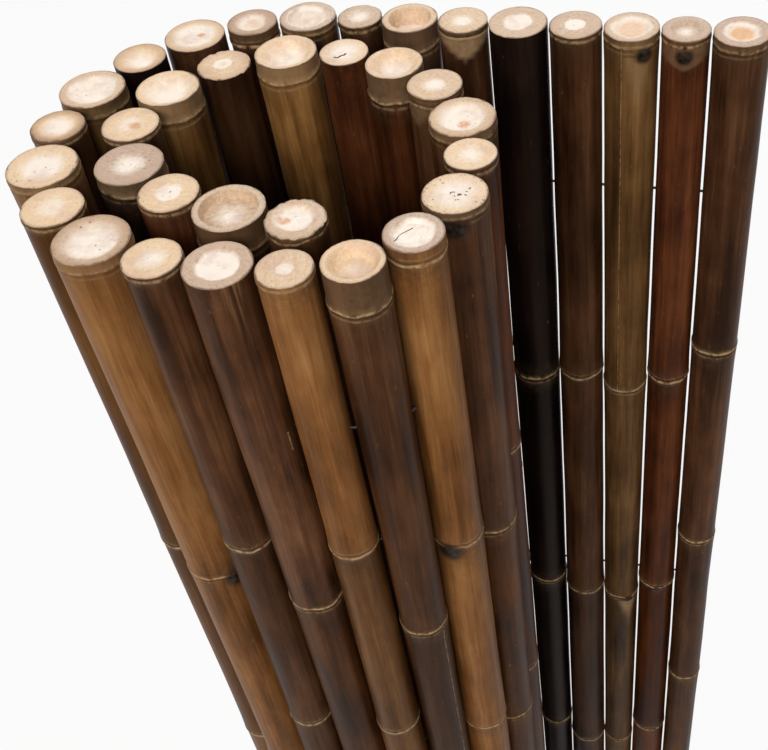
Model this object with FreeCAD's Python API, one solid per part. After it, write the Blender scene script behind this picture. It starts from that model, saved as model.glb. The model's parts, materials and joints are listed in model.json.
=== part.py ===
# Bamboo fence panel: bamboo poles strung side by side on three wires, standing half rolled up.
# Millimetres, +Z up. The origin is on the floor under the middle of the roll's outline.
import FreeCAD, Part
import math
import os

Vector = FreeCAD.Vector
UP = Vector(0, 0, 1)
MITRED = 1               # how a swept section goes round a corner of its path

# Poles
HEIGHT = 1219.0          # four feet: every pole is cut to one length
TAPER = 5.6              # a pole's butt end is this much thicker than its tip end
RING_RISE = 0.6          # a node's ring stands this far out of the wall
RING_STEP = 3.0          # height of the step on the ring's butt side
FOOT_CLEAR = 80.0        # no ring lies closer to the foot than this
CUP_WALL = 7.0           # wall left round a hollow top
CUP_DRAFT = 2.0          # the hollow narrows by this much down to the pole's inner floor
POLE_FLATS = 12          # flats that stand for the round wall, one facing each neighbour

# Wires
WIRE_DIAMETER = 2.0
WIRE_FLATS = 6
WIRE_INSET = 130.0       # from the upper and lower wire to the nearer end of the poles
HOLE_CLEARANCE = 0.3     # between a wire and its drilled hole, all round
RING_GAP = 0.4           # left between the rings of two neighbours

# Poles in their order along the wires, from the free end to the heart of the roll: diameter at the top, depth
# of a ring just under the cut or 0, depth of the next ring, length between the further rings, and depth of a
# hollow top or 0
POLES = (
    (37, 5, 279, 257, 0), (32, 4, 318, 302, 0), (37, 5, 333, 315, 0), (35, 3, 322, 324, 0),
    (40, 0, 327, 306, 0), (33, 5, 308, 318, 0), (38, 15, 350, 330, 14), (30, 4, 290, 312, 0),
    (39, 4, 335, 326, 0), (34, 10, 300, 310, 0), (42, 0, 320, 330, 0), (36, 0, 296, 308, 0),
    (44, 8, 342, 334, 0), (35, 4, 324, 310, 0), (45, 4, 330, 340, 0), (38, 3, 316, 304, 0),
    (46, 6, 309, 294, 0), (35, 3, 256, 252, 0), (41, 0, 316, 322, 0), (33, 3, 249, 252, 0),
    (37, 25, 354, 329, 10), (35, 10, 274, 268, 0), (39, 4, 301, 285, 0), (32, 4, 260, 310, 0),
    (42, 6, 339, 325, 5), (35, 7, 312, 316, 0), (38, 19, 338, 318, 10), (33, 0, 285, 306, 0),
    (42, 12, 348, 336, 9), (36, 0, 305, 314, 0), (42, 14, 342, 328, 9), (37, 3, 318, 320, 0),
    (43, 9, 328, 332, 0), (37, 3, 298, 312, 0), (44, 18, 362, 340, 16), (36, 5, 290, 310, 0),
)

# How the panel bends from the free end on: number of gaps, and the turn in each in degrees
FREE_END_HEADING = 180.0
TURNS = (
    (7, 0.0),                                       # the straight run
    (2, 10.3), (4, 17.7), (4, 21.3),                # round the left side
    (2, 4.0),                                       # along the front
    (2, 26.0), (2, 21.6), (5, 18.7),                # round the right side and back inside the straight run
    (2, 23.5), (3, 34.2), (2, 8.2),                 # the inner turn
)


def direction(heading):
    """Unit vector in plan at a heading in degrees."""
    return Vector(math.cos(math.radians(heading)), math.sin(math.radians(heading)), 0)


def butt_up(index):
    """The poles stand butt up and tip up by turns, so that the taper doesn't bend the panel."""
    return index % 2 == 0


def wall_radius(index, z):
    """A pole's radius between its rings, at a height."""
    top = POLES[index][0] / 2
    lean = -TAPER / 2 if butt_up(index) else TAPER / 2
    return top + lean * (1 - z / HEIGHT)


def reach(index, turn):
    """From a pole's axis to the wires' bend in the gap beside it: the rings of neighbours just clear."""
    ring = wall_radius(index, HEIGHT / 2) + RING_RISE
    half = math.radians(abs(turn)) / 2
    corner = ring * math.tan(math.pi / POLE_FLATS) * math.tan(half)
    return ring + corner + RING_GAP / 2 / math.cos(half)


def lay_out():
    """Each pole's foot and heading, and each bend of the wires with its turn, link after link."""
    turns = [turn for count, turn in TURNS for _ in range(count)]
    heading = FREE_END_HEADING
    foot = Vector(0, 0, 0)
    stations = [(foot, heading)]
    bends = []
    for index, turn in enumerate(turns):
        bend = foot + direction(heading) * reach(index, turn)
        bends.append((bend, turn))
        heading += turn
        foot = bend + direction(heading) * reach(index + 1, turn)
        stations.append((foot, heading))
    return stations, bends


def corners_of(centre, radius, flats, side, rise):
    """Corners of a polygon with its flats at a radius from the centre, one of them facing along side."""
    corner = radius / math.cos(math.pi / flats)
    angles = [2 * math.pi * (k + 0.5) / flats for k in range(flats)]
    return [centre + side * (corner * math.cos(a)) + rise * (corner * math.sin(a)) for a in angles]


def face_of(corners):
    """Flat face with these corners."""
    return Part.Face(Part.makePolygon(corners + corners[:1]))


def stack(foot, side, profile):
    """Upright solid with flats, from heights and radii: one flat faces along side."""
    ahead = UP.cross(side)
    rings = [corners_of(foot + UP * z, radius, POLE_FLATS, side, ahead) for z, radius in profile]
    faces = [face_of(rings[0]), face_of(rings[-1])]
    for low, high in zip(rings, rings[1:]):
        for k in range(POLE_FLATS):
            faces.append(face_of([low[k - 1], low[k], high[k], high[k - 1]]))
    return Part.makeSolid(Part.makeShell(faces))


def ring_heights(index):
    """Heights of a pole's rings, from the foot up."""
    _, near_cut, depth, internode, _ = POLES[index]
    heights = []
    while HEIGHT - depth > FOOT_CLEAR:
        heights.insert(0, HEIGHT - depth)
        depth += internode
    if near_cut:
        heights.append(HEIGHT - near_cut)
    return heights


def pole_profile(index):
    """Heights and radii up the pole: a step and a ring at every node, then the cut top."""
    profile = [(0.0, wall_radius(index, 0.0))]
    for z in ring_heights(index):
        crest = (z, wall_radius(index, z) + RING_RISE)
        if butt_up(index):
            profile += [crest, (z + RING_STEP, wall_radius(index, z + RING_STEP))]
        else:
            profile += [(z - RING_STEP, wall_radius(index, z - RING_STEP)), crest]
    return profile + [(HEIGHT, wall_radius(index, HEIGHT))]


def hollow_top(index, foot, side):
    """The hollow above a pole's highest inner floor, drafted towards that floor."""
    depth = POLES[index][4]
    mouth = wall_radius(index, HEIGHT) - CUP_WALL
    return stack(foot, side, [(HEIGHT - depth, mouth - CUP_DRAFT), (HEIGHT, mouth)])


def wire_heights():
    """Lower, middle and upper wire."""
    return {"lower_wire": WIRE_INSET, "middle_wire": HEIGHT / 2, "upper_wire": HEIGHT - WIRE_INSET}


def drilled_hole(index, foot, side, z):
    """One wire's hole, right through the pole along its heading."""
    half = wall_radius(index, z) + RING_RISE + RING_GAP
    radius = WIRE_DIAMETER / 2 + HOLE_CLEARANCE
    mouth = corners_of(foot - side * half + UP * z, radius, WIRE_FLATS, UP, UP.cross(side))
    return face_of(mouth).extrude(side * (2 * half))


def pole(index, foot, heading):
    """One bamboo pole with its rings, drilled for the wires, and hollow where it was cut above a floor."""
    side = direction(heading)
    cuts = [drilled_hole(index, foot, side, z) for z in wire_heights().values()]
    if POLES[index][4]:
        cuts.append(hollow_top(index, foot, side))
    return stack(foot, side, pole_profile(index)).cut(cuts)


def wire(z, stations, bends):
    """One wire through all the poles: straight in each pole, bent in the gaps, cut flush at both ends."""
    last = len(stations) - 1
    (first_foot, first_heading), (last_foot, last_heading) = stations[0], stations[last]
    start = first_foot - direction(first_heading) * wall_radius(0, z)
    end = last_foot + direction(last_heading) * wall_radius(last, z)
    route = [start] + [bend for bend, turn in bends if turn] + [end]
    path = Part.makePolygon([point + UP * z for point in route])
    section = corners_of(start + UP * z, WIRE_DIAMETER / 2, WIRE_FLATS, UP, direction(first_heading + 90))
    return path.makePipeShell([Part.makePolygon(section + section[:1])], True, False, MITRED)


def build():
    """All pieces by name, moved so that the origin is under the middle of the roll."""
    stations, bends = lay_out()
    pieces = {}
    for index, (foot, heading) in enumerate(stations):
        pieces["pole_%02d" % (index + 1)] = pole(index, foot, heading)
    for name, z in wire_heights().items():
        pieces[name] = wire(z, stations, bends)
    middle = Part.makeCompound(list(pieces.values())).BoundBox.Center
    for piece in pieces.values():
        piece.translate(Vector(-middle.x, -middle.y, 0))
    return pieces


os.makedirs("parts", exist_ok=True)
for name, piece in build().items():
    piece.exportStep("parts/%s.step" % name)
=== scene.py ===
import json
import math
import random

import bpy
from mathutils import Matrix, Vector


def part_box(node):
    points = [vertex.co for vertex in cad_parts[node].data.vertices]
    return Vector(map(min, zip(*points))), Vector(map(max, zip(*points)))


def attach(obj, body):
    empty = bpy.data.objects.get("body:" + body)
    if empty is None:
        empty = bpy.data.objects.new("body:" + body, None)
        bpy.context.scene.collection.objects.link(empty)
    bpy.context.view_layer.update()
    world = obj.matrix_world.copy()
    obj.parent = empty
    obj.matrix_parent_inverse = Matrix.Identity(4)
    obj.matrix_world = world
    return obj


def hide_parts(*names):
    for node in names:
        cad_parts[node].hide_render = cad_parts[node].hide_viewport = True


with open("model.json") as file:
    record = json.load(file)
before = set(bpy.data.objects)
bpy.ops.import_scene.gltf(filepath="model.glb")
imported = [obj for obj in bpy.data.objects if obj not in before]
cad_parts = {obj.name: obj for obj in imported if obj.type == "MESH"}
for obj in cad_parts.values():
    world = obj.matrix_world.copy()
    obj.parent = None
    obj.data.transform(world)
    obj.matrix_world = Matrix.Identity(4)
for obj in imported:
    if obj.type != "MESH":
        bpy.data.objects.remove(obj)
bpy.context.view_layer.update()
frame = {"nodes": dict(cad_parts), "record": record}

MM = 0.001
POLE_COUNT = 36
CAD_FLATS = 12            # flats round a pole of the frame
CULM_SIDES = 64           # corners round a culm here
CULM_CREASE = 38.0        # edges of a culm sharper than this stay sharp, degrees
LEVEL_STEP = 40.0         # longest stretch of wall between two levels, mm
DISH_STEPS = 6            # levels down the side of a dished top
FLOOR_ROWS = 10           # and rows of faces from there to its middle
REFINE_CUTS = 3           # cuts across each side of a wall's face where a mark needs finer corners
SAW_EDGE = 0.35           # the sawn rim is broken by this much, mm
WANDER = 1.3              # a culm strays from its straight line by up to half of this, mm
WANDER_LENGTHS = {"X": 140.0, "Y": 182.0}    # and comes back over about these lengths, mm
RING_FRAY = 5.0           # a ring strays up or down by up to half of this, mm
RING_FRAY_LENGTH = 14.0   # over about this length round the culm, mm
RING_FRAY_REACH = 9.0     # and takes this much of the wall along, mm
RIM_STILL = 0.1           # but the wall next to the cut stays, over this share of that reach
HOLE_RADIUS = 1.3         # drilled for the wires, mm
WIRE_RADIUS = 1.0
WIRE_SIDES = 12
WIRE_CREASE = 50.0
WIRE_CORNERS = 4.0        # the frame's wire has its corners this close together where it bends, mm
WIRE_BEND = 10.0          # and bends this close to the middle of a gap, mm
WIRES = ("lower_wire", "middle_wire", "upper_wire")
BUD_RISE = 1.4            # a bud stands this far out of the wall, mm
BUD_REACH = 7.0           # and fades into it over this distance, mm
BUD_TIP = 0.3             # and this share of that distance is its tip
BUD_CORE = 0.6            # a bud is all dark inside this share of its radius
BUD_FADE = 0.8            # and pales over this further share
SPLIT_SHADE = 0.14        # a split in a top is painted dark, as painted shade, where it lies this far below the wood, mm
SPLIT_RIM = -0.5          # and ends this far out on the rim, in widths of the dish's side
WRINKLES = 4.0            # a papery floor rises and falls by up to half of this, mm
WRINKLE_LENGTH = 5.0      # over about this length, mm
WRINKLE_EDGE = 0.2        # and less within this share of the radius from the rim
TEARS = 4.0               # a torn rim is broken down by up to this much, mm
TEAR_LENGTH = 4.0         # over about this length, mm
TEAR_REACH = 8.0          # and takes this much of the wall along, mm
SOOT_REACH = 22.0         # length of the sooty band under the cut, mm
SOOT_FULL = SOOT_REACH / 3    # and of its darkest part
COLLAR_REACH = 30.0       # a ring deeper than this has no collar between itself and the cut, mm
COLLAR_CLEAR = 1.5        # and a collar begins this far above its ring, mm
TONE_RING = 40.0          # a ring closer to the cut than this doesn't part two tones, mm
NEAR_CUT = 9.0            # a ring closer to the cut than this is scraped with the rim, mm
SCRAPED = 0.6             # and shows this much of its usual contrast
SCAR_EDGE = 7.0           # a pale scar fades out over this width, mm
SCAR_TAPER = 1.5          # and narrows downwards by this power of the depth
CRACK_DEPTH = 0.6         # of a drying crack or a chip, mm
CRACK_ENDS = 1.5          # and its colour fades out over this length, mm
CRACK_PALE_AND_HIGHLIGHT = 1.2          # how pale its bottom is, on the scale of the rings; on the chip of pole 19 this pale is a painted highlight
CRACK_LINE = 0.2          # corners this close to its middle line are its bottom, mm
CRACK_BESIDE = 3.0        # and faces this close to that line are cut for it, mm
TOUCH = 0.1               # corners this close to a limit are taken to lie within it, mm
END_SLOPE = 0.6           # a face whose normal rises more than this is no part of a wall
END_DEPTH = 1.0           # and this close to a culm's end it is sawn, mm
WALL_DEPTH = 1.5          # faces deeper in the culm than this are sawn or drilled, mm
HOLLOW = 0.9              # in the frame, corners within this share of the wall's radius are in a hollow

# A mark on a wall takes in corners up to this far behind its middle, mm
SCAR_BEHIND = 12.0
SCRAPE_BEHIND = 8.0
CRACK_BEHIND = 5.0

# Range of the brightness and the warmth between two nodes where no table gives them
SHADES = (0.8, 1.05)
WARMTHS = (0.9, 1.02)

# A node's ring, from the butt side to the tip side: distance from the leaf scar along the culm in mm, how far
# it stands out of the wall in mm, how pale the skin is worn there and how dark, both from 0 to 1. The dark is
# the node's own darker skin, and painted shade right beside the scar's lip, deepest in the groove on its tip
# side
NODE_RING = (
    (-60.0, 0.00, 0.00, 0.00),
    (-20.0, 0.05, 0.00, 0.15),
    (-5.0, 0.15, 0.05, 0.45),
    (-1.6, 0.30, 0.20, 0.50),
    (-0.6, 0.90, 1.20, 0.00),
    (0.6, 0.85, 1.20, 0.00),
    (1.5, 0.20, 0.10, 0.80),
    (3.0, 0.35, 0.10, 0.40),
    (4.2, 0.55, 0.45, 0.20),
    (5.5, 0.60, 0.10, 0.20),
    (9.0, 0.45, 0.05, 0.15),
    (20.0, 0.12, 0.00, 0.10),
    (60.0, 0.00, 0.00, 0.00),
)

# Sawn tops by pole. In shares of the radius: where the flat rim ends, where the floor begins, and how far the
# pale heart reaches; depth of the floor in mm. Then from 0 to 1: how soft the heart's edge is, how peach the
# heart is, how grey and how burnt the rim is, how clear the growth rings are, how specked the wood is, how
# wrinkled the floor is and how torn the rim is
TOPS = {
    1: dict(land=0.68, floor=0.45, depth=2.0, heart=0.64, peach=1.0, grey=1.0, rings=0.3),
    2: dict(land=0.74, floor=0.40, depth=2.2, heart=0.24, grey=0.9, soft=0.8, rings=1.0),
    3: dict(land=0.74, floor=0.48, depth=2.4, heart=0.72, peach=0.7, grey=0.6, soft=0.2),
    4: dict(land=0.46, floor=0.42, depth=0.4, heart=0.42, grey=0.7, specks=0.4),
    5: dict(land=0.52, floor=0.48, depth=0.3, heart=0.50, grey=0.6),
    6: dict(land=0.50, floor=0.30, depth=0.8, heart=0.36, grey=0.3, soft=0.6, rings=0.5),
    7: dict(land=0.78, floor=0.62, depth=11.0, heart=0.58, grey=0.3, soft=0.2, specks=0.0),
    8: dict(land=0.60, floor=0.40, depth=0.6, heart=0.40, grey=0.7, soft=0.9, specks=0.5, torn=0.25),
    9: dict(land=0.76, floor=0.60, depth=3.0, heart=0.74, peach=0.2, grey=0.7, soft=0.2, wrinkle=0.7),
    10: dict(land=0.68, floor=0.45, depth=2.4, heart=0.60, peach=0.4, grey=0.9, soft=0.3, burnt=0.5),
    11: dict(land=0.88, floor=0.30, depth=1.2, heart=0.72, soft=0.4, burnt=0.3, specks=0.3, rings=0.5),
    12: dict(land=0.85, floor=0.35, depth=3.4, heart=0.45, soft=0.6, burnt=0.6, rings=0.5),
    13: dict(land=0.80, floor=0.50, depth=3.4, heart=0.74, grey=0.4, soft=0.2, specks=0.3),
    14: dict(land=0.92, floor=0.40, depth=1.2, heart=0.52, soft=0.6, burnt=0.9, torn=0.3),
    15: dict(land=0.90, floor=0.50, depth=0.8, heart=0.58, soft=0.5, specks=0.5),
    16: dict(land=0.55, floor=0.50, depth=0.4, heart=0.34, peach=0.4, soft=0.8, rings=0.9),
    17: dict(land=0.80, floor=0.60, depth=2.4, heart=0.66, grey=0.5, soft=0.4, burnt=0.5, specks=0.6,
             wrinkle=0.3),
    18: dict(land=0.64, floor=0.58, depth=0.5, heart=0.40, soft=0.6, rings=1.0),
    19: dict(land=0.66, floor=0.60, depth=1.0, heart=0.62, grey=0.8),
    20: dict(land=0.40, floor=0.32, depth=0.5, heart=0.32, grey=0.3, rings=0.5, specks=0.1),
    21: dict(land=0.86, floor=0.55, depth=7.0, heart=0.15, peach=0.4, soft=1.0, rings=0.5, torn=0.3),
    22: dict(land=0.76, floor=0.60, depth=3.0, heart=0.74, grey=0.9, wrinkle=0.6),
    23: dict(land=0.95, floor=0.50, depth=0.6, heart=0.60, soft=1.0, specks=1.0),
    24: dict(land=0.92, floor=0.40, depth=0.6, heart=0.35, soft=1.0, rings=0.6, wrinkle=0.2),
    25: dict(land=0.76, floor=0.50, depth=4.0, heart=0.70, grey=0.2, soft=0.2, burnt=0.3, specks=0.6,
             torn=0.3),
    26: dict(land=0.50, floor=0.40, depth=0.4, heart=0.36, grey=0.3, soft=0.5),
    27: dict(land=0.92, floor=0.40, depth=6.0, heart=0.45, soft=0.8, rings=0.5, specks=0.0),
    28: dict(land=0.92, floor=0.30, depth=0.3, heart=0.60, soft=1.0, specks=0.1),
    29: dict(land=0.88, floor=0.40, depth=8.0, heart=0.55, soft=0.8, specks=0.1),
    30: dict(land=0.36, floor=0.30, depth=0.3, heart=0.34, peach=0.4, grey=0.2, burnt=0.3, specks=0.1,
             torn=0.6),
    31: dict(land=0.92, floor=0.30, depth=7.0, heart=0.62, soft=0.8, specks=0.1),
    32: dict(land=0.60, floor=0.45, depth=0.3, heart=0.30, peach=0.6, soft=0.8, rings=0.6),
    33: dict(land=0.60, floor=0.40, depth=0.6, heart=0.40, grey=1.0, soft=0.5, specks=0.5, wrinkle=0.2),
    34: dict(land=0.46, floor=0.40, depth=0.5, heart=0.42, soft=0.15, specks=0.6),
    35: dict(land=0.82, floor=0.74, depth=6.5, heart=0.30, grey=0.4, soft=0.9, wrinkle=0.9),
    36: dict(land=0.78, floor=0.45, depth=3.0, heart=0.62, grey=0.5, soft=0.3, specks=0.4, wrinkle=0.5,
             torn=1.0),
}
PLAIN_TOP = dict(peach=0.0, grey=0.0, soft=0.1, burnt=0.0, rings=0.25, specks=0.2, wrinkle=0.0, torn=0.0)

# Rusty marks on the tops: pole, place in shares of the radius along X and Y, radius in mm
RUST = ((25, 0.08, -0.16, 8.0), (11, 0.18, 0.12, 5.5), (32, 0.22, -0.05, 8.0), (36, -0.38, -0.08, 8.0))

# Patches of wormholes in the tops: pole, place in shares of the radius along X and Y, radius in mm
PITS = ((23, 0.10, 0.05, 13.0), (34, 0.0, 0.0, 6.0))

# Splits in the tops: pole, half width in mm, and points in shares of the radius along X and Y
SPLITS = (
    (28, 0.8, ((-0.31, -0.38), (-0.14, -0.40), (-0.04, -0.24), (0.06, -0.19), (0.11, -0.05))),
    (22, 0.4, ((-0.53, -0.52), (-0.55, -0.25), (-0.42, 0.09), (-0.13, 0.40))),
    (21, 0.4, ((0.20, -0.47), (0.42, -0.50), (0.62, -0.28))),
)

# How far the skin between the highest ring and the saw cut is scraped pale, from 0 to 1, by pole
PLAIN_COLLAR = 0.15
COLLARS = {5: 0.0, 11: 0.0, 12: 0.0, 14: 0.4, 17: 0.3, 19: 0.0, 21: 0.22, 22: 0.0, 25: 0.3, 27: 0.4,
           28: 0.0, 29: 0.65, 30: 0.0, 31: 0.6, 33: 0.3, 34: 0.3}

# How sooty the band under the cut is, from 0 to 1, by pole
PLAIN_SOOT = 0.35
SOOT = {2: 0.2, 10: 0.9, 13: 0.8, 20: 0.4, 21: 0.0, 22: 0.35, 23: 0.6, 27: 0.0, 29: 0.0, 31: 0.0, 33: 0.8}

# Brightness and warmth of the skin between two nodes, from the top down, where it differs from 1. Partly the
# skin's own tone, which differs stretch by stretch, and partly painted light and shade: upper stretches
# brighter and lower ones darker, the poles inside the roll (26, 27, 28, 30) darker, and the inner walls of
# poles 29 and 31 brighter near their tops
INTERNODE_TONE_AND_LIGHT = {
    1: ((1.0, 0.98), (1.25, 0.98), (0.8, 1.0)),
    2: ((1.1, 0.97), (0.95, 1.0), (0.6, 1.05)),
    3: ((1.12, 0.97), (1.0, 0.95), (0.65, 0.92)),
    4: ((0.86, 1.0), (0.9, 1.0), (0.65, 0.92)),
    5: ((0.8, 1.0), (0.5, 1.0), (0.7, 0.9)),
    16: ((0.52, 1.05), (0.5, 1.05)),
    17: ((1.05, 0.98), (0.97, 1.0), (0.85, 1.0)),
    18: ((1.1, 1.0), (0.8, 1.0), (0.8, 1.0)),
    19: ((1.45, 0.97), (0.85, 1.05), (0.8, 1.0)),
    20: ((1.25, 0.97), (0.58, 0.97), (0.7, 1.0)),
    21: ((0.98, 1.0), (0.52, 1.02), (0.7, 1.0)),
    22: ((1.15, 0.98), (1.1, 0.98), (1.0, 1.0)),
    23: ((1.2, 0.96), (0.95, 1.08), (0.9, 1.1)),
    26: ((0.9, 1.0),),
    27: ((0.68, 0.98),),
    28: ((0.9, 0.97),),
    29: ((2.0, 1.0),),
    30: ((0.45, 1.0),),
    31: ((1.45, 1.0),),
}

# Dark buds: pole, depth below the top in mm, azimuth in degrees from +X, and radius in mm
BUDS = ((3, 11, -58, 6.0), (3, 650, -58, 4.5), (2, 11, -88, 5.5), (2, 622, -83, 3.5), (17, 314, -30, 10.0),
        (22, 280, -97, 9.5), (23, 11, -76, 7.0), (27, 26, -40, 5.0))

# Pale wedges where a bud was torn off: pole, depth of the wedge's upper edge below the top, azimuth, width
# and length in mm, and how pale it is from 0 to 1
SCARS = ((6, 4, -78, 44.0, 19.0, 0.85), (26, 6, -125, 36.0, 18.0, 0.35), (3, 654, -58, 24.0, 36.0, 0.8),
         (2, 5, -88, 60.0, 18.0, 0.3), (3, 12, -70, 24.0, 40.0, 0.4))

# Drying cracks and a chip: pole, azimuth, depth of the upper and the lower end below the top, and width in
# mm. The chip on pole 19 is a shallow cut whose pale bottom is a painted highlight
CRACKS = ((3, -104, 8, 332, 0.9), (21, -23, 358, 580, 0.9), (19, -24, 128, 146, 2.6))

# Walls scraped to the fibre: pole, azimuth, half width in mm, and depth where the scratches run out
SCRAPES = ((19, -48, 10.0, 46.0),)


class Culm:
    """One pole as the frame has it: its axis, its radii, its rings and the way it grew. All in mm."""

    def __init__(self, number):
        node = "pole_%02d" % number
        low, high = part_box(node)
        self.x = (low.x + high.x) / 2 / MM
        self.y = (low.y + high.y) / 2 / MM
        self.height = high.z / MM
        corners = {}
        for vertex in frame["nodes"][node].data.vertices:
            place = vertex.co / MM
            spot = (round(place.x, 1), round(place.y, 1), self.away(place))
            corners.setdefault(round(place.z, 1), set()).add(spot)
        to_flat = math.cos(math.pi / CAD_FLATS)
        radii = {z: to_flat * max(spot[2] for spot in spots)
                 for z, spots in corners.items() if len(spots) >= CAD_FLATS}
        levels = sorted(radii)
        self.foot = radii[levels[0]]
        self.top = radii[levels[-1]]
        walls = [z for z in levels[1:-1] if radii[z] > HOLLOW * min(self.foot, self.top)]
        pairs = list(zip(walls[0::2], walls[1::2]))
        self.rings = [max(pair, key=lambda z: radii[z] - self.wall(z)) for pair in pairs]
        self.tipward = -1 if self.rings[0] == pairs[0][0] else 1
        chance = random.Random(number)
        self.tones = list(INTERNODE_TONE_AND_LIGHT.get(number, ()))
        while len(self.tones) <= len(self.rings):
            self.tones.append((chance.uniform(*SHADES), chance.uniform(*WARMTHS)))

    def away(self, place):
        """Distance of a point from the axis."""
        return math.hypot(place.x - self.x, place.y - self.y)

    def wall(self, z):
        """Radius of the tapered wall without its rings."""
        return self.foot + (self.top - self.foot) * z / self.height

    def ring(self, z, column):
        """A column of the ring's table at a height: 0 away from every ring."""
        for ring in self.rings:
            along = (z - ring) * self.tipward
            for near, far in zip(NODE_RING, NODE_RING[1:]):
                if near[0] <= along <= far[0]:
                    share = (along - near[0]) / (far[0] - near[0])
                    value = near[column] + share * (far[column] - near[column])
                    return value * (SCRAPED if self.height - ring < NEAR_CUT else 1.0)
        return 0.0

    def levels(self):
        """Heights of the corners up the wall, close together at the rings."""
        edge = self.height - SAW_EDGE
        marks = {0.0, edge}
        for ring in self.rings:
            marks.update(ring + self.tipward * row[0] for row in NODE_RING)
        marks = sorted(z for z in marks if 0.0 <= z <= edge)
        levels = [0.0]
        for z in marks[1:]:
            start = levels[-1]
            steps = math.ceil((z - start) / LEVEL_STEP)
            levels += [start + (z - start) * (k + 1) / steps for k in range(steps)]
        return levels

    def on_wall(self, azimuth, depth):
        """A point on the wall at an azimuth in degrees and a depth below the top, and its outward side."""
        side = Vector((math.cos(math.radians(azimuth)), math.sin(math.radians(azimuth)), 0))
        z = self.height - depth
        return Vector((self.x, self.y, z)) + side * (self.wall(z) + self.ring(z, 1)), side


def smooth(share):
    """An even start and end between 0 and 1."""
    share = max(0.0, min(1.0, share))
    return share * share * (3 - 2 * share)


def deselect_all():
    bpy.ops.object.select_all(action="DESELECT")


def sawn_profile(culm, number):
    """Heights and radii over the sawn top, from the rim to the middle."""
    land, floor, depth = (TOPS[number][name] for name in ("land", "floor", "depth"))
    profile = [(culm.height, culm.top - SAW_EDGE), (culm.height, land * culm.top)]
    for k in range(1, DISH_STEPS + 1):
        share = k / DISH_STEPS
        profile.append((culm.height - depth * smooth(share), (land + (floor - land) * share) * culm.top))
    for k in range(1, FLOOR_ROWS):
        profile.append((culm.height - depth, floor * (1 - k / FLOOR_ROWS) * culm.top))
    return profile


def raise_culm(node, number, culm):
    """A culm raised from its foot, level by level, to the sawn top."""
    deselect_all()
    centre = Vector((culm.x * MM, culm.y * MM, 0))
    bpy.ops.mesh.primitive_circle_add(
        vertices=CULM_SIDES, radius=culm.foot * MM, fill_type="TRIFAN", location=centre)
    piece = bpy.context.object
    piece.name = node + "_culm"
    bpy.ops.object.transform_apply(location=True)
    bpy.ops.object.mode_set(mode="EDIT")
    wall = [(z, culm.wall(z) + culm.ring(z, 1)) for z in culm.levels()]
    height, radius = wall[0]
    for z, r in wall[1:] + sawn_profile(culm, number):
        bpy.ops.mesh.extrude_region_move(TRANSFORM_OT_translate={"value": (0, 0, (z - height) * MM)})
        spread = r / radius
        bpy.ops.transform.resize(value=(spread, spread, 1), center_override=centre)
        height, radius = z, r
    bpy.ops.mesh.select_all(action="SELECT")
    bpy.ops.mesh.normals_make_consistent(inside=False)
    bpy.ops.object.mode_set(mode="OBJECT")
    return piece


def apply_modifier(piece, kind, **settings):
    """One modifier, set and applied."""
    bpy.context.view_layer.objects.active = piece
    bpy.ops.object.modifier_add(type=kind)
    modifier = piece.modifiers[-1]
    for name, value in settings.items():
        setattr(modifier, name, value)
    bpy.ops.object.modifier_apply(modifier=modifier.name)


def clouds(name, length):
    """A cloudy texture whose parts are about a length in mm, for moving corners."""
    texture = bpy.data.textures.new(name, "CLOUDS")
    texture.noise_scale = length * MM
    return texture


def wander(piece):
    """Bends a piece a little off its straight line, neighbours together."""
    for direction, texture in WANDERINGS.items():
        apply_modifier(piece, "DISPLACE", texture=texture, texture_coords="LOCAL", direction=direction,
                       strength=WANDER * MM, mid_level=0.5)


def fray_rings(piece, culm):
    """Moves the rings up and down a little round the culm, as leaf scars run."""
    group = piece.vertex_groups.new(name="rings")
    for vertex in piece.data.vertices:
        z = vertex.co.z / MM
        near = max(1 - abs(z - ring) / RING_FRAY_REACH for ring in culm.rings)
        clear = min(1.0, (culm.height - z) / RING_FRAY_REACH - RIM_STILL)
        if near > 0 and clear > 0:
            group.add([vertex.index], near * clear, "REPLACE")
    apply_modifier(piece, "DISPLACE", texture=FRAY, texture_coords="LOCAL", direction="Z",
                   strength=RING_FRAY * MM, mid_level=0.5, vertex_group="rings")


def select_only(piece, kind, chosen):
    """In edit mode, only the chosen corners or faces of a piece, by their index."""
    deselect_all()
    bpy.context.view_layer.objects.active = piece
    piece.select_set(True)
    bpy.ops.object.mode_set(mode="EDIT")
    bpy.ops.mesh.select_mode(type=kind)
    bpy.ops.mesh.select_all(action="DESELECT")
    bpy.ops.object.mode_set(mode="OBJECT")
    elements = piece.data.vertices if kind == "VERT" else piece.data.polygons
    for index in chosen:
        elements[index].select = True
    bpy.ops.object.mode_set(mode="EDIT")


def refine_wall(piece, spot, reach):
    """Divides the wall's faces round a spot."""
    faces = [face.index for face in piece.data.polygons
             if (face.center / MM - spot).length < reach and abs(face.normal.z) < END_SLOPE]
    select_only(piece, "FACE", faces)
    bpy.ops.mesh.subdivide(number_cuts=REFINE_CUTS)
    bpy.ops.object.mode_set(mode="OBJECT")


def raise_bud(piece, culm, azimuth, depth):
    """A bud pulled out of the wall."""
    spot, side = culm.on_wall(azimuth, depth)
    refine_wall(piece, spot, 2 * BUD_REACH)
    near = [v.index for v in piece.data.vertices if (v.co / MM - spot).length < BUD_TIP * BUD_REACH]
    select_only(piece, "VERT", near)
    bpy.ops.transform.translate(
        value=side * (BUD_RISE * MM), use_proportional_edit=True, proportional_edit_falloff="SMOOTH",
        proportional_size=BUD_REACH * MM)
    bpy.ops.object.mode_set(mode="OBJECT")


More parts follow.
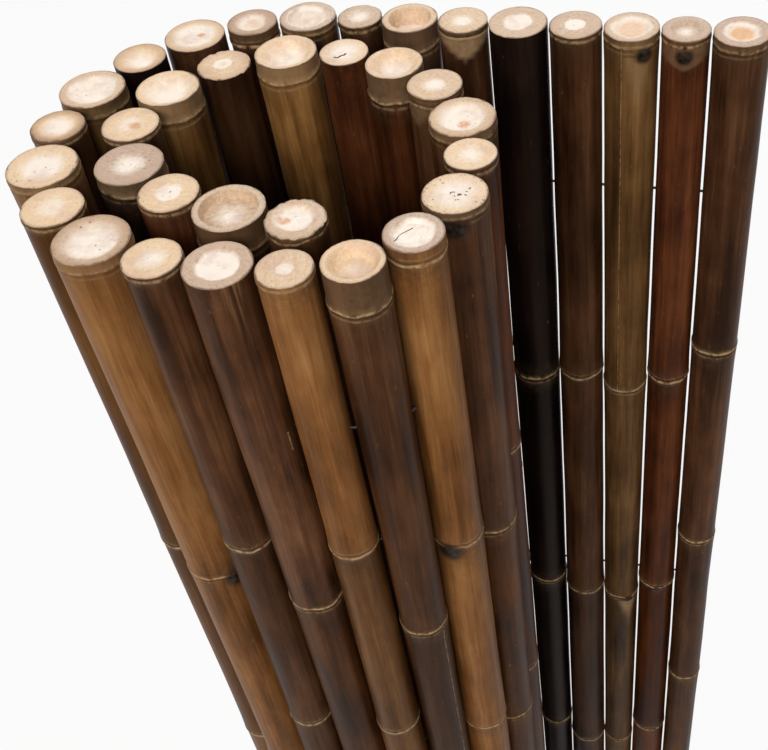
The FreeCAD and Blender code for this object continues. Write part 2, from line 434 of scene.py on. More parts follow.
def open_crack(piece, culm, azimuth, upper, lower, width):
    """A drying crack: cuts across the wall at its ends, then three along it, the middle one pressed in."""
    spot, side = culm.on_wall(azimuth, upper)
    across = Vector((-side.y, side.x, 0))
    up = Vector((0, 0, 1))
    end = upper - lower
    cuts = [(up * z, up, LEVEL_STEP) for z in (CRACK_ENDS, 0.0, end, end - CRACK_ENDS)]
    cuts += [(across * offset, across, 0.0) for offset in (-width / 2, width / 2, 0.0)]
    for offset, normal, beyond in cuts:
        faces = []
        for face in piece.data.polygons:
            place = face.center / MM - spot
            beside = abs(place.dot(across)) < CRACK_BESIDE and place.dot(side) > -CRACK_BEHIND
            if beside and end - beyond < place.z < beyond:
                faces.append(face.index)
        select_only(piece, "FACE", faces)
        bpy.ops.mesh.bisect(plane_co=(spot + offset) * MM, plane_no=normal)
        if offset.length == 0 and normal == across:
            bpy.ops.transform.translate(value=-side * (CRACK_DEPTH * MM))
        bpy.ops.object.mode_set(mode="OBJECT")


def split_top(piece, number, culm, radius, points):
    """A split in the sawn top: a fine groove along its points, at the height of the wood there."""
    top = TOPS[number]
    route = []
    for x, y in points:
        share = (top["land"] - math.hypot(x, y)) / (top["land"] - top["floor"])
        z = culm.height - top["depth"] * smooth(share)
        route.append(Vector((culm.x + x * culm.top, culm.y + y * culm.top, z)) * MM)
    groove = draw_wire("groove", route, radius)
    apply_modifier(piece, "BOOLEAN", operation="DIFFERENCE", object=groove, solver="EXACT")
    bpy.data.objects.remove(groove)


def roughen_top(piece, number, culm):
    """Wrinkles the floor of the sawn top and breaks its rim, as far as its table says."""
    top = {**PLAIN_TOP, **TOPS[number]}
    floor = piece.vertex_groups.new(name="floor")
    rim = piece.vertex_groups.new(name="rim")
    for vertex in piece.data.vertices:
        place = vertex.co / MM
        depth = culm.height - place.z
        inward = top["land"] - culm.away(place) / culm.top
        if inward > 0 and depth < top["depth"] + TOUCH:
            floor.add([vertex.index], top["wrinkle"] * smooth(inward / WRINKLE_EDGE), "REPLACE")
        elif inward <= 0 and depth < TEAR_REACH:
            share = smooth(-inward / (1 - top["land"])) * (1 - depth / TEAR_REACH)
            rim.add([vertex.index], top["torn"] * share, "REPLACE")
    apply_modifier(piece, "DISPLACE", texture=CRUMPLE, texture_coords="LOCAL", direction="Z",
                   strength=WRINKLES * MM, mid_level=0.5, vertex_group="floor")
    apply_modifier(piece, "DISPLACE", texture=TEAR, texture_coords="LOCAL", direction="Z",
                   strength=TEARS * MM, mid_level=0.9, vertex_group="rim")


def paint(piece, name, values):
    """One number for each corner of the mesh, for its material to read."""
    attribute = piece.data.attributes.new(name, "FLOAT", "POINT")
    attribute.data.foreach_set("value", values)


def across_wall(place, spot, side):
    """How far a point of the wall lies beside a spot and below it."""
    offset = place - spot
    return offset.dot(Vector((-side.y, side.x, 0))), -offset.z


def paint_culm(piece, number, culm):
    """What the skin and the sawn top look like, corner by corner."""
    buds = [(culm.on_wall(azimuth, depth)[0], radius) for n, depth, azimuth, radius in BUDS if n == number]
    scars = [(*culm.on_wall(azimuth, depth), *shape) for n, depth, azimuth, *shape in SCARS if n == number]
    cracks = [(*culm.on_wall(azimuth, upper), lower - upper)
              for n, azimuth, upper, lower, _ in CRACKS if n == number]
    rust, pits = ([(Vector((culm.x + x * culm.top, culm.y + y * culm.top)), size)
                   for n, x, y, size in marks if n == number] for marks in (RUST, PITS))
    scrapes = [(*culm.on_wall(azimuth, 0.0), half, end)
               for n, azimuth, half, end in SCRAPES if n == number]
    collar = COLLARS.get(number, PLAIN_COLLAR)
    darkening = SOOT.get(number, PLAIN_SOOT)
    looks = ("pale", "bare", "dark", "bud", "scrape", "shade", "warm", "reach", "rust", "pits")
    painted = {look: [] for look in looks}
    for vertex in piece.data.vertices:
        place = vertex.co / MM
        depth = culm.height - place.z
        pale = culm.ring(place.z, 2)
        bare = collar if place.z > culm.rings[-1] + COLLAR_CLEAR and depth < COLLAR_REACH else 0.0
        for spot, side, width, length, worn in scars:
            beside, below = across_wall(place, spot, side)
            if 0 <= below < length and (place - spot).dot(side) > -SCAR_BEHIND:
                edge = width / 2 * (1 - (below / length) ** SCAR_TAPER) - abs(beside)
                bare = max(bare, worn * smooth(edge / SCAR_EDGE))
        band = darkening * (1 - smooth((depth - SOOT_FULL) / (SOOT_REACH - SOOT_FULL)))
        # dark: the smoke-dark band under the cut and the node's own darker skin, plus painted shade beside
        # each ring's scar
        dark = max(culm.ring(place.z, 3), band) * (1 - bare)
        bud = max([1 - smooth(((place - spot).length / radius - BUD_CORE) / BUD_FADE)
                   for spot, radius in buds], default=0.0)
        scrape = 0.0
        for spot, side, half, end in scrapes:
            beside, below = across_wall(place, spot, side)
            if (place - spot).dot(side) > -SCRAPE_BEHIND:
                scrape = (1 - smooth(abs(beside) / half)) * (1 - smooth(below / end))
        pale *= 1 - bud
        for spot, side, length in cracks:
            beside, below = across_wall(place, spot, side)
            within = -TOUCH < below < length + TOUCH and (place - spot).dot(side) > -CRACK_BEHIND
            if within and abs(beside) < CRACK_LINE:
                # pale bottom of a crack; on the chip of pole 19 a painted highlight
                pale = CRACK_PALE_AND_HIGHLIGHT
        # brightness and warmth of this stretch: the skin's own tone, with the painted light and shade of the
        # table
        above = [ring for ring in culm.rings if place.z < ring < culm.height - TONE_RING]
        shade, warm = culm.tones[len(above)]
        stain, eaten = (
            max([1 - smooth((place.xy - spot).length / size) for spot, size in marks], default=0.0)
            for marks in (rust, pits))
        spread = culm.away(place) / culm.top
        values = (pale, bare, dark, bud, scrape, shade, warm, spread, stain, eaten)
        for look, value in zip(looks, values):
            painted[look].append(value)
    top = {**PLAIN_TOP, **TOPS[number]}
    top["stroke"] = random.Random(number).uniform(0, math.pi)
    for look in ("heart", "peach", "grey", "soft", "burnt", "rings", "specks", "wrinkle", "stroke"):
        painted[look] = [top[look]] * len(piece.data.vertices)
    for look, values in painted.items():
        paint(piece, look, values)


def paint_split_shade(piece, number, culm):
    """Paints shade at the bottom of the splits in the top: corners that lie below the wood beside them."""
    top = TOPS[number]
    values = []
    for vertex in piece.data.vertices:
        place = vertex.co / MM
        share = (top["land"] - culm.away(place) / culm.top) / (top["land"] - top["floor"])
        sunk = culm.height - top["depth"] * smooth(share) - place.z
        values.append(1.0 if share > SPLIT_RIM and sunk > SPLIT_SHADE else 0.0)
    paint(piece, "split", values)


def dress_culm(piece, culm, skin):
    """Skin on the wall, sawn wood at both ends and in the holes, and smooth shading."""
    piece.data.materials.clear()
    piece.data.materials.append(skin)
    piece.data.materials.append(SAWN)
    for face in piece.data.polygons:
        place = face.center / MM
        at_end = min(place.z, culm.height - place.z) < END_DEPTH and abs(face.normal.z) > END_SLOPE
        inside = culm.away(place) < culm.wall(place.z) - WALL_DEPTH
        face.material_index = 1 if at_end or inside else 0
    deselect_all()
    bpy.context.view_layer.objects.active = piece
    piece.select_set(True)
    bpy.ops.object.shade_smooth_by_angle(angle=math.radians(CULM_CREASE))


def wire_route(node, culms):
    """Points of a wire of the frame: its free end, each gap between two poles, and its inner end."""
    spots = []
    for vertex in frame["nodes"][node].data.vertices:
        near = [spot for spot in spots if (spot[0] - vertex.co).length < WIRE_CORNERS * MM]
        if near:
            near[0].append(vertex.co.copy())
        else:
            spots.append([vertex.co.copy()])
    points = []
    for spot in spots:
        low = Vector([min(p[k] for p in spot) for k in range(3)])
        high = Vector([max(p[k] for p in spot) for k in range(3)])
        points.append((low + high) / 2)
    axes = [Vector((culm.x * MM, culm.y * MM, points[0].z)) for culm in culms]
    gaps = [(a + b) / 2 for a, b in zip(axes, axes[1:])]
    ends = 2 * axes[0] - gaps[0], 2 * axes[-1] - gaps[-1]
    route = []
    for gap in [ends[0], *gaps, ends[1]]:
        nearest = min(points, key=lambda p: (p - gap).length)
        route.append(nearest if (nearest - gap).length < WIRE_BEND * MM else gap)
    return route


def draw_wire(name, route, radius):
    """A round wire drawn along its route: straight runs, with the section turned half way at each bend."""
    deselect_all()
    headings = [math.atan2(b.y - a.y, b.x - a.x) for a, b in zip(route, route[1:])]
    bpy.ops.mesh.primitive_circle_add(
        vertices=WIRE_SIDES, radius=radius * MM, fill_type="NGON", location=route[0],
        rotation=(0, math.pi / 2, headings[0]))
    piece = bpy.context.object
    piece.name = name
    bpy.ops.object.transform_apply(location=True, rotation=True)
    bpy.ops.object.mode_set(mode="EDIT")
    faced = headings[0]
    for k, heading in enumerate(headings):
        run = route[k + 1] - route[k]
        bpy.ops.mesh.extrude_region_move(TRANSFORM_OT_translate={"value": run})
        ahead = headings[min(k + 1, len(headings) - 1)]
        turn = (ahead - heading + math.pi) % (2 * math.pi) - math.pi
        aim = heading + turn / 2
        swing = (aim - faced + math.pi) % (2 * math.pi) - math.pi
        bpy.ops.transform.rotate(value=-swing, orient_axis="Z", center_override=route[k + 1])
        faced = aim
    bpy.ops.mesh.select_all(action="SELECT")
    bpy.ops.mesh.normals_make_consistent(inside=False)
    bpy.ops.object.mode_set(mode="OBJECT")
    return piece


# Materials

GROWTH_RINGS = 18.0       # from the middle of a top to its rim
FLOOR_GLOW = 0.935        # share of plain white in what the eye sees of the floor


def colour(text):
    """An sRGB hex value as linear colour."""
    parts = [int(text[k:k + 2], 16) / 255 for k in (1, 3, 5)]
    linear = [p / 12.92 if p <= 0.04045 else ((p + 0.055) / 1.055) ** 2.4 for p in parts]
    return (*linear, 1.0)


def put(tree, kind, links=None, stops=(), output=0, **settings):
    """Adds a node with its own settings, a ramp's stops, and for each socket a value or the output that feeds
    it. Returns one of the node's outputs."""
    made = tree.nodes.new(kind)
    for name, value in settings.items():
        setattr(made, name, value)
    for name, value in (links or {}).items():
        if isinstance(value, bpy.types.NodeSocket):
            tree.links.new(value, made.inputs[name])
        else:
            made.inputs[name].default_value = value
    for k, (at, shade) in enumerate(stops):
        stop = made.color_ramp.elements[k] if k < 2 else made.color_ramp.elements.new(at)
        stop.position = at
        stop.color = colour(shade)
    return made.outputs[output] if made.outputs else None


def new_material(name):
    material = bpy.data.materials.new(name)
    material.use_nodes = True
    material.node_tree.nodes.clear()
    return material, material.node_tree


def per_mm(size):
    """Scale of a pattern on Object coordinates whose parts are a size in mm."""
    return 1 / (size * MM)


def smoked_bamboo(name, shadow, skin, light):
    """Bamboo skin, smoked and oiled: a hard satin skin with fibres along the culm, long streaks where the
    smoke took unevenly, pale worn leaf scars and smoke-darkened nodes, with painted shade in the groove
    beside each scar, and a brightness between nodes that carries painted light and shade."""
    material, tree = new_material(name)
    place = put(tree, "ShaderNodeTexCoord", output="Object")
    along = put(tree, "ShaderNodeMapping", {"Vector": place, "Scale": (1, 1, 0.04)})
    streak = put(tree, "ShaderNodeTexNoise",
                 {"Vector": along, "Scale": per_mm(9), "Detail": 4.0, "Roughness": 0.65})
    fibre = put(tree, "ShaderNodeTexNoise", {"Vector": along, "Scale": per_mm(1.5), "Detail": 2.0})
    drawn = put(tree, "ShaderNodeMapping", {"Vector": place, "Scale": (1, 1, 0.4)})
    cloud = put(tree, "ShaderNodeTexNoise",
                {"Vector": drawn, "Scale": per_mm(40), "Detail": 5.0, "Roughness": 0.6})
    flecks = put(tree, "ShaderNodeMapping", {"Vector": place, "Scale": (1, 1, 0.3)})
    scratch = put(tree, "ShaderNodeTexNoise", {"Vector": flecks, "Scale": per_mm(2.6), "Detail": 2.0})
    grime = put(tree, "ShaderNodeTexNoise",
                {"Vector": place, "Scale": per_mm(4), "Detail": 4.0, "Roughness": 0.6})
    pale, bare, dark, bud, scrape, shade, warm = (
        put(tree, "ShaderNodeAttribute", output="Fac", attribute_name=look)
        for look in ("pale", "bare", "dark", "bud", "scrape", "shade", "warm"))

    blend = put(tree, "ShaderNodeMath", {0: streak, 1: cloud}, operation="ADD")
    half = put(tree, "ShaderNodeMath", {0: blend, 1: 0.5}, operation="MULTIPLY")
    toned = put(tree, "ShaderNodeValToRGB", {"Fac": half},
                stops=((0.38, shadow), (0.62, light), (0.5, skin)))
    lined = put(tree, "ShaderNodeMixRGB", {"Fac": 0.35, "Color1": toned, "Color2": fibre},
                blend_type="OVERLAY")
    # the skin's tone brightened or darkened stretch by stretch, which carries painted light and shade as well
    # as tone
    own = put(tree, "ShaderNodeHueSaturation", {"Color": lined, "Value": shade, "Saturation": warm})
    fleck = put(tree, "ShaderNodeMapRange", {
        "Value": scratch, "From Min": 0.70, "From Max": 0.80, "To Max": 0.4})
    flecked = put(tree, "ShaderNodeMixRGB", {"Fac": fleck, "Color1": own, "Color2": colour("#8f6a44")})
    patchy = put(tree, "ShaderNodeMapRange", {"Value": grime, "From Min": 0.32, "From Max": 0.6})
    # how dark: the band under the cut and the nodes' own darker skin, plus painted shade in each ring's
    # groove
    darkening = put(tree, "ShaderNodeMath", {0: dark, 1: patchy}, operation="MULTIPLY", use_clamp=True)
    sooted_and_shaded = put(tree, "ShaderNodeMixRGB", {"Fac": darkening, "Color1": flecked, "Color2": colour("#17100c")})
    dusty = put(tree, "ShaderNodeMapRange", {
        "Value": grime, "From Min": 0.3, "From Max": 0.6, "To Min": 0.7, "To Max": 1.0})
    scuff = put(tree, "ShaderNodeMath", {0: bare, 1: dusty}, operation="MULTIPLY")
    scuffed = put(tree, "ShaderNodeMixRGB", {"Fac": scuff, "Color1": sooted_and_shaded, "Color2": colour("#a2825f")})
    worn = put(tree, "ShaderNodeMath", {0: pale, 1: patchy}, operation="MULTIPLY", use_clamp=True)
    scarred = put(tree, "ShaderNodeMixRGB", {"Fac": worn, "Color1": scuffed, "Color2": colour("#b8966e")})
    line = put(tree, "ShaderNodeTexNoise", {"Vector": along, "Scale": per_mm(2.2), "Detail": 3.0})
    groove = put(tree, "ShaderNodeMapRange", {"Value": line, "From Min": 0.45, "From Max": 0.6})
    fibrous = put(tree, "ShaderNodeMath", {0: scrape, 1: groove}, operation="MULTIPLY")
    scratched = put(tree, "ShaderNodeMixRGB",
                    {"Fac": fibrous, "Color1": scarred, "Color2": colour("#84603e")})
    scaly = put(tree, "ShaderNodeValToRGB", {"Fac": grime}, stops=((0.35, "#120d0b"), (0.65, "#3d322a")))
    budded = put(tree, "ShaderNodeMixRGB", {"Fac": bud, "Color1": scratched, "Color2": scaly})
    rough = put(tree, "ShaderNodeMapRange", {
        "Value": cloud, "From Min": 0.3, "From Max": 0.7, "To Min": 0.34, "To Max": 0.5})
    grain = put(tree, "ShaderNodeBump", {"Height": fibre, "Strength": 0.25, "Distance": 0.1 * MM})
    shader = put(tree, "ShaderNodeBsdfPrincipled", {
        "Base Color": budded, "Roughness": rough, "Normal": grain, "Specular IOR Level": 0.07,
        "Specular Tint": colour("#e0a870")})
    put(tree, "ShaderNodeOutputMaterial", {"Surface": shader})
    return material


def sawn_bamboo():
    """Bamboo sawn across: cream wood dotted with fibre bundles, greyer or burnt towards the skin, with faint
    growth rings, a paler or peach heart, brown specks, and splits with painted shade at their bottom."""
    material, tree = new_material("sawn_bamboo")
    place = put(tree, "ShaderNodeTexCoord", output="Object")
    reach, heart, soft, peach, grey, burnt, rings, specks, wrinkle, stroke, rust, pits, split = (
        put(tree, "ShaderNodeAttribute", output="Fac", attribute_name=look)
        for look in ("reach", "heart", "soft", "peach", "grey", "burnt", "rings", "specks", "wrinkle",
                     "stroke", "rust", "pits", "split"))
    blotch = put(tree, "ShaderNodeTexNoise", {"Vector": place, "Scale": per_mm(11), "Detail": 2.0})
    crumb = put(tree, "ShaderNodeTexNoise",
                {"Vector": place, "Scale": per_mm(2.4), "Detail": 4.0, "Roughness": 0.65})
    sway = put(tree, "ShaderNodeMapRange", {
        "Value": blotch, "From Min": 0.2, "From Max": 0.8, "To Min": -0.07, "To Max": 0.07})
    torn = put(tree, "ShaderNodeMapRange", {
        "Value": crumb, "From Min": 0.2, "From Max": 0.8, "To Min": -0.03, "To Max": 0.03})
    ragged = put(tree, "ShaderNodeMath", {0: sway, 1: torn}, operation="ADD")
    swayed = put(tree, "ShaderNodeMath", {0: heart, 1: ragged}, operation="ADD")
    inward = put(tree, "ShaderNodeMath", {0: swayed, 1: reach}, operation="SUBTRACT")
    edge = put(tree, "ShaderNodeMapRange", {"Value": soft, "To Min": 0.04, "To Max": 0.4})
    back = put(tree, "ShaderNodeMath", {0: edge, 1: -1.0}, operation="MULTIPLY")
    hearty = put(tree, "ShaderNodeMapRange", {"Value": inward, "From Min": back, "From Max": edge},
                 interpolation_type="SMOOTHSTEP")

    plain = put(tree, "ShaderNodeMixRGB",
                {"Fac": grey, "Color1": colour("#e9caa6"), "Color2": colour("#c2a791")})
    warped = put(tree, "ShaderNodeMath", {0: reach, 1: ragged}, operation="ADD")
    growth = put(tree, "ShaderNodeTexNoise", {"W": warped, "Scale": GROWTH_RINGS, "Detail": 2.0},
                 noise_dimensions="1D")
    ringed = put(tree, "ShaderNodeMixRGB", {"Fac": rings, "Color1": plain, "Color2": growth},
                 blend_type="SOFT_LIGHT")
    mottled = put(tree, "ShaderNodeMixRGB", {"Fac": 0.5, "Color1": ringed, "Color2": crumb},
                  blend_type="OVERLAY")
    bundle = put(tree, "ShaderNodeTexVoronoi", {"Vector": place, "Scale": per_mm(1.5)})
    dots = put(tree, "ShaderNodeMapRange", {
        "Value": bundle, "From Min": 0.15, "From Max": 0.32, "To Min": 0.25, "To Max": 0.0})
    dotted = put(tree, "ShaderNodeMixRGB", {"Fac": dots, "Color1": mottled, "Color2": colour("#a5805c")})

    deep = put(tree, "ShaderNodeMapRange", {"Value": inward, "From Min": 0.08, "From Max": 0.3})
    flush = put(tree, "ShaderNodeMath", {0: deep, 1: peach}, operation="MULTIPLY")
    centre = put(tree, "ShaderNodeMixRGB",
                 {"Fac": flush, "Color1": colour("#f9ebdc"), "Color2": colour("#e0b084")})
    grained = put(tree, "ShaderNodeMixRGB", {"Fac": 0.15, "Color1": centre, "Color2": crumb},
                  blend_type="OVERLAY")
    wood = put(tree, "ShaderNodeMixRGB", {"Fac": hearty, "Color1": dotted, "Color2": grained})

    aim = put(tree, "ShaderNodeCombineXYZ", {"Z": stroke})
    turned = put(tree, "ShaderNodeMapping", {"Vector": place, "Rotation": aim})
    drawn = put(tree, "ShaderNodeMapping", {"Vector": turned, "Scale": (1, 0.12, 1)})
    teeth = put(tree, "ShaderNodeTexNoise",
                {"Vector": drawn, "Scale": per_mm(1.6), "Detail": 3.0, "Roughness": 0.6})
    sawn = put(tree, "ShaderNodeMixRGB", {"Fac": 0.45, "Color1": wood, "Color2": teeth},
               blend_type="SOFT_LIGHT")
    weather = put(tree, "ShaderNodeTexNoise",
                  {"Vector": place, "Scale": per_mm(17), "Detail": 5.0, "Roughness": 0.6})
    bruise = put(tree, "ShaderNodeMapRange",
                 {"Value": weather, "From Min": 0.48, "From Max": 0.7, "To Max": 0.5})
    bruised = put(tree, "ShaderNodeMixRGB", {"Fac": bruise, "Color1": sawn, "Color2": colour("#cba792")})
    outer = put(tree, "ShaderNodeMapRange",
                {"Value": warped, "From Min": 0.6, "From Max": 1.0, "To Max": 0.9})
    scorch = put(tree, "ShaderNodeMath", {0: outer, 1: burnt}, operation="MULTIPLY")
    scorched = put(tree, "ShaderNodeMixRGB",
                   {"Fac": scorch, "Color1": bruised, "Color2": colour("#94663f")})
    brink = put(tree, "ShaderNodeMapRange",
                {"Value": reach, "From Min": 0.9, "From Max": 1.0, "To Max": 0.55})
    rimmed = put(tree, "ShaderNodeMixRGB", {"Fac": brink, "Color1": scorched, "Color2": colour("#a08265")})
    verge = put(tree, "ShaderNodeMapRange",
                {"Value": warped, "From Min": 0.965, "From Max": 1.0, "To Max": 0.8})
    barked = put(tree, "ShaderNodeMixRGB", {"Fac": verge, "Color1": rimmed, "Color2": colour("#63493a")})
    rusted = put(tree, "ShaderNodeMath", {0: rust, 1: crumb}, operation="MULTIPLY")
    stain = put(tree, "ShaderNodeMapRange",
                {"Value": rusted, "From Min": 0.15, "From Max": 0.45, "To Max": 0.75})
    stained = put(tree, "ShaderNodeMixRGB", {"Fac": stain, "Color1": barked, "Color2": colour("#cf8648")})

    pit = put(tree, "ShaderNodeTexNoise", {"Vector": place, "Scale": per_mm(2.6), "Detail": 1.0})
    eaten = put(tree, "ShaderNodeMath", {0: pits, 1: 0.1, 2: pit}, operation="MULTIPLY_ADD")
    pitted = put(tree, "ShaderNodeMapRange", {"Value": eaten, "From Min": 0.7, "From Max": 0.76})
    where = put(tree, "ShaderNodeMath", {0: specks, 1: pits}, operation="MAXIMUM")
    holes = put(tree, "ShaderNodeMath", {0: pitted, 1: where}, operation="MULTIPLY")
    holed = put(tree, "ShaderNodeMixRGB", {"Fac": holes, "Color1": stained, "Color2": colour("#4a3524")})
    rim = put(tree, "ShaderNodeMapRange", {"Value": reach, "From Min": 0.6, "From Max": 0.95})
    grub = put(tree, "ShaderNodeMapRange",
               {"Value": crumb, "From Min": 0.54, "From Max": 0.68, "To Max": 0.9})
    smears = put(tree, "ShaderNodeMath", {0: rim, 1: grub}, operation="MULTIPLY")
    dirt = put(tree, "ShaderNodeMath", {0: smears, 1: specks}, operation="MULTIPLY")
    dirty = put(tree, "ShaderNodeMixRGB", {"Fac": dirt, "Color1": holed, "Color2": colour("#7a5638")})
    # painted shade at the bottom of each split
    split_shaded = put(tree, "ShaderNodeMixRGB", {"Fac": split, "Color1": dirty, "Color2": colour("#1a120c")})
    folds = put(tree, "ShaderNodeMapRange", {"Value": wrinkle, "To Min": 0.15, "To Max": 1.0})
    saw = put(tree, "ShaderNodeBump", {"Height": crumb, "Strength": folds, "Distance": 1.2 * MM})
    rough = put(tree, "ShaderNodeMapRange", {"Value": wrinkle, "To Min": 0.65, "To Max": 0.2})
    shader = put(tree, "ShaderNodeBsdfPrincipled", {
        "Base Color": split_shaded, "Roughness": rough, "Normal": saw, "Specular IOR Level": 0.4})
    put(tree, "ShaderNodeOutputMaterial", {"Surface": shader})
    return material


def shaded_galvanised_steel():
    """Galvanised steel wire gone dull: grey metal darkened with painted shade, as the wire lies in the shaded
    gaps between poles, with a soft cloudy bloom.
    """
    material, tree = new_material("galvanised_steel_wire")
    place = put(tree, "ShaderNodeTexCoord", output="Object")
    bloom = put(tree, "ShaderNodeTexNoise", {"Vector": place, "Scale": per_mm(3), "Detail": 3.0})
    # near-black greys: painted shade over the wire's own dull galvanised grey
    grey = put(tree, "ShaderNodeValToRGB", {"Fac": bloom}, stops=((0.3, "#2b2825"), (0.7, "#4b4742")))
    rough = put(tree, "ShaderNodeMapRange", {"Value": bloom, "To Min": 0.45, "To Max": 0.7})
    shader = put(tree, "ShaderNodeBsdfPrincipled", {"Base Color": grey, "Metallic": 1.0, "Roughness": rough})
    put(tree, "ShaderNodeOutputMaterial", {"Surface": shader})
    return material


def seen_directly(tree):
    """1 for a ray from the camera, or one that a shiny or clear surface passes on."""
    camera, glossy, clear = (
        put(tree, "ShaderNodeLightPath", output="Is %s Ray" % kind)
        for kind in ("Camera", "Glossy", "Transmission"))
    seen = put(tree, "ShaderNodeMath", {0: camera, 1: glossy}, operation="MAXIMUM")
    return put(tree, "ShaderNodeMath", {0: seen, 1: clear}, operation="MAXIMUM")


def pale_floor():
    """Matt white studio floor: bright to the eye, with the soft shadow kept."""
    material, tree = new_material("matt_white_floor")
    matt = put(tree, "ShaderNodeBsdfDiffuse", {"Color": colour("#c8c5c0")})
    glow = put(tree, "ShaderNodeEmission", {"Color": colour("#ffffff"), "Strength": 1.0})
    share = put(tree, "ShaderNodeMath", {0: seen_directly(tree), 1: FLOOR_GLOW}, operation="MULTIPLY")
    both = put(tree, "ShaderNodeMixShader", {0: share, 1: matt, 2: glow})
    put(tree, "ShaderNodeOutputMaterial", {"Surface": both})
    return material


# Studio

CAMERA_PLACE = Vector((222.9, -599.2, 1652.6)) * MM
CAMERA_YAW = 17.03        # degrees from +Y, anticlockwise
CAMERA_PITCH = 47.88      # degrees below the horizon
CAMERA_ROLL = -6.72
FOCAL_PIXELS = 1223.5
IMAGE_WIDTH, IMAGE_HEIGHT = 768, 750
OPTICAL_CENTRE = (473.8, 420.2)
SENSOR_WIDTH = 36.0       # mm
FLOOR_SIZE = 24.0         # edge, m
WORLD_FILL = 0.07         # strength of the world's light on the panel

# Soft lights: name, place, point aimed at and edge in metres, and power in watts
SOFTBOXES = (
    ("left_softbox", (-1.1, -3.6, 3.6), (0, 0, 0.9), 2.0, 83.0),
    ("right_softbox", (1.3, -3.5, 3.4), (0, 0, 0.9), 1.8, 70.0),
    ("top_softbox", (0.0, 0.2, 4.2), (0, 0, 1.2), 2.0, 34.0),
    ("back_softbox", (0.4, 3.4, 2.8), (0, 0, 0.9), 2.4, 80.0),
)


def set_camera():
    data = bpy.data.cameras.new("camera")
    data.sensor_width = SENSOR_WIDTH
    data.lens = FOCAL_PIXELS / IMAGE_WIDTH * data.sensor_width
    data.shift_x = (IMAGE_WIDTH / 2 - OPTICAL_CENTRE[0]) / IMAGE_WIDTH
    data.shift_y = (OPTICAL_CENTRE[1] - IMAGE_HEIGHT / 2) / IMAGE_WIDTH
    camera = bpy.data.objects.new("camera", data)
    bpy.context.scene.collection.objects.link(camera)
    turn = (Matrix.Rotation(math.radians(CAMERA_YAW), 4, "Z")
            @ Matrix.Rotation(math.radians(90 - CAMERA_PITCH), 4, "X")
            @ Matrix.Rotation(math.radians(CAMERA_ROLL), 4, "Z"))
    camera.matrix_world = Matrix.Translation(CAMERA_PLACE) @ turn
    bpy.context.scene.camera = camera


def hang_softbox(name, place, aim, size, power):
    """A square soft light, aimed at a point."""
    data = bpy.data.lights.new(name, "AREA")
    data.size = size
    data.energy = power
    lamp = bpy.data.objects.new(name, data)
    bpy.context.scene.collection.objects.link(lamp)
    lamp.location = place
    lamp.rotation_euler = (Vector(aim) - Vector(place)).to_track_quat("-Z", "Y").to_euler()


def light_studio():
    for softbox in SOFTBOXES:
        hang_softbox(*softbox)
    world = bpy.data.worlds.new("studio")
    world.use_nodes = True
    bpy.context.scene.world = world
    tree = world.node_tree
    tree.nodes.clear()
    strength = put(tree, "ShaderNodeMapRange", {
        "Value": seen_directly(tree), "To Min": WORLD_FILL, "To Max": 1.0})
    white = put(tree, "ShaderNodeBackground", {"Color": colour("#ffffff"), "Strength": strength})
    put(tree, "ShaderNodeOutputWorld", {"Surface": white})
    bpy.context.scene.view_settings.view_transform = "Standard"


def lay_floor():
    deselect_all()
    bpy.ops.mesh.primitive_plane_add(size=FLOOR_SIZE)
    floor = bpy.context.object
    floor.name = "floor"
    floor.data.materials.append(pale_floor())


# The panel

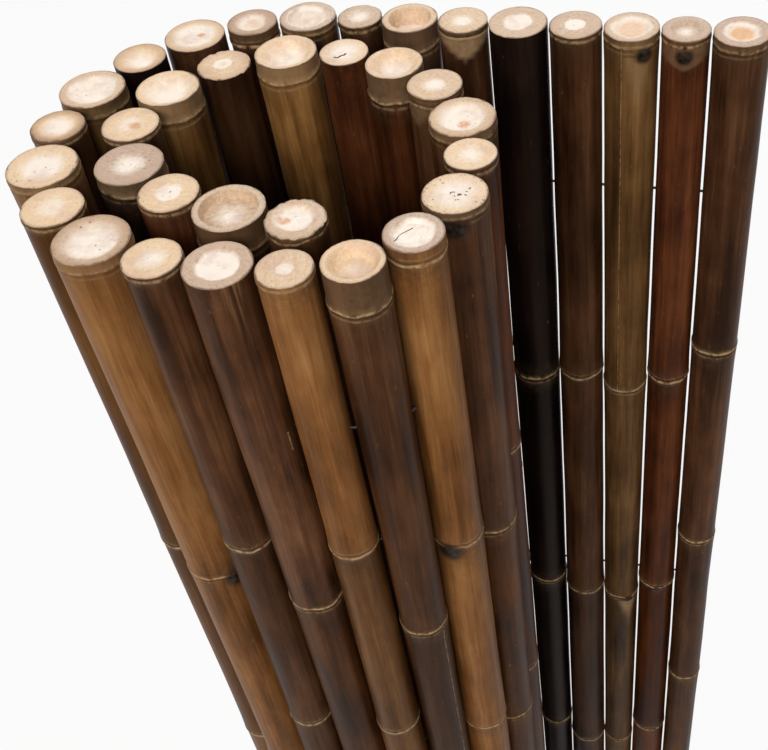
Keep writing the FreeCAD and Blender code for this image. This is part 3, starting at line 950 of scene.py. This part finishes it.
SKINS = {
    "bamboo_golden": smoked_bamboo("golden_smoked_bamboo", "#5c3816", "#7d5027", "#96683a"),
    "bamboo_dark": smoked_bamboo("brown_smoked_bamboo", "#2a170c", "#4a2d1a", "#64422a"),
    "bamboo_red": smoked_bamboo("red_smoked_bamboo", "#2c140a", "#502813", "#6d3c1c"),
    "bamboo_olive": smoked_bamboo("olive_smoked_bamboo", "#38240f", "#5e3f1f", "#7b5830"),
    "bamboo_black": smoked_bamboo("black_smoked_bamboo", "#0e0706", "#1a100d", "#2a1a13"),
}
SAWN = sawn_bamboo()
WANDERINGS = {direction: clouds("wander_" + direction.lower(), length)
              for direction, length in WANDER_LENGTHS.items()}
FRAY = clouds("fray", RING_FRAY_LENGTH)
CRUMPLE = clouds("crumple", WRINKLE_LENGTH)
TEAR = clouds("tear", TEAR_LENGTH)


def make_culms(culms):
    """Every pole of the panel, drilled by one set of drills as the wires run."""
    slots = {part["node"]: part["material_slot"] for part in frame["record"]["subparts"]}
    drills = [draw_wire("drill", wire_route(name, culms), HOLE_RADIUS) for name in WIRES]
    for drill in drills:
        drill.select_set(True)
    bpy.context.view_layer.objects.active = drills[0]
    bpy.ops.object.join()
    drill = drills[0]
    for number, culm in enumerate(culms, 1):
        node = "pole_%02d" % number
        piece = raise_culm(node, number, culm)
        apply_modifier(piece, "BOOLEAN", operation="DIFFERENCE", object=drill, solver="EXACT")
        for n, depth, azimuth, _ in BUDS:
            if n == number:
                raise_bud(piece, culm, azimuth, depth)
        for n, depth, azimuth, width, length, _ in SCARS:
            if n == number:
                refine_wall(piece, culm.on_wall(azimuth, depth + length / 2)[0], max(width / 2, length))
        for n, *crack in CRACKS:
            if n == number:
                open_crack(piece, culm, *crack)
        for n, radius, points in SPLITS:
            if n == number:
                split_top(piece, number, culm, radius, points)
        paint_culm(piece, number, culm)
        paint_split_shade(piece, number, culm)
        dress_culm(piece, culm, SKINS[slots[node]])
        roughen_top(piece, number, culm)
        fray_rings(piece, culm)
        wander(piece)
        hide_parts(node)
        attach(piece, "root")
    bpy.data.objects.remove(drill)


def make_wires(culms):
    steel = shaded_galvanised_steel()
    for name in WIRES:
        piece = draw_wire(name + "_drawn", wire_route(name, culms), WIRE_RADIUS)
        piece.data.materials.append(steel)
        bpy.ops.object.shade_smooth_by_angle(angle=math.radians(WIRE_CREASE))
        wander(piece)
        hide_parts(name)
        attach(piece, "root")


culms = [Culm(number) for number in range(1, POLE_COUNT + 1)]
make_culms(culms)
make_wires(culms)
lay_floor()
light_studio()
set_camera()
